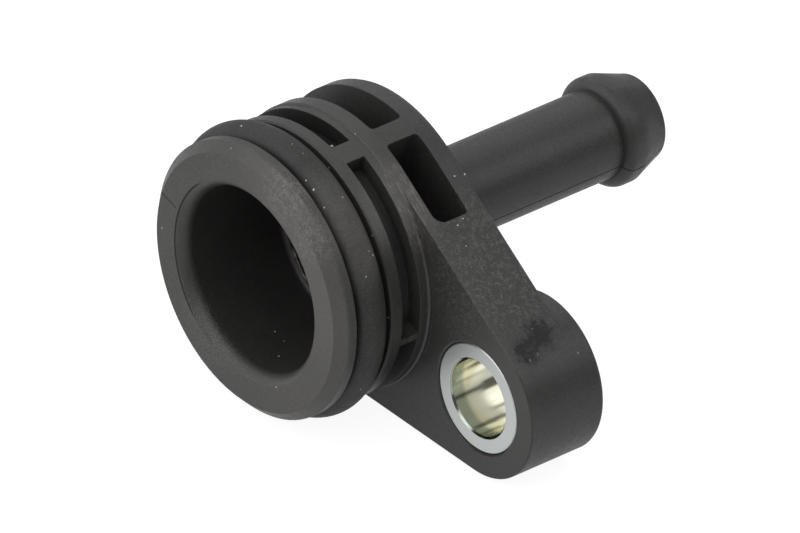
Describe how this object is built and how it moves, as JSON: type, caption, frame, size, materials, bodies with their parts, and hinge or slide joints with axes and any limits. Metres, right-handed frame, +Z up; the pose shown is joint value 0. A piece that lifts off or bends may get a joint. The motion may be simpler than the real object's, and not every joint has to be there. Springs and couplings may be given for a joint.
{
  "type": "coolant flange",
  "caption": "Moulded nylon coolant flange: an O-ring sealed spigot, an ear with a steel bolt sleeve, and a straight hose nipple on the back.",
  "frame": {"origin": "where the spigot's bore axis crosses the flange's seating face", "axes": "+Y along the bore axis from the spigot's mouth to the hose nipple's tip, +Z up as the part lies on the flat lower side of its flange, +X from the bore towards the bolt ear"},
  "size_m": [0.0392, 0.0434, 0.0264],
  "materials": {
    "moulded_nylon": "satin black glass-filled nylon with a fine moulded grain",
    "seal_rubber": "satin black rubber",
    "zinc_plated_steel": "bright zinc plating with a faint yellow passivation in the bore"
  },
  "bodies": {
    "root": {"flange_body": "moulded_nylon", "sealing_ring": "seal_rubber", "compression_sleeve": "zinc_plated_steel"}
  },
  "joints": []
}
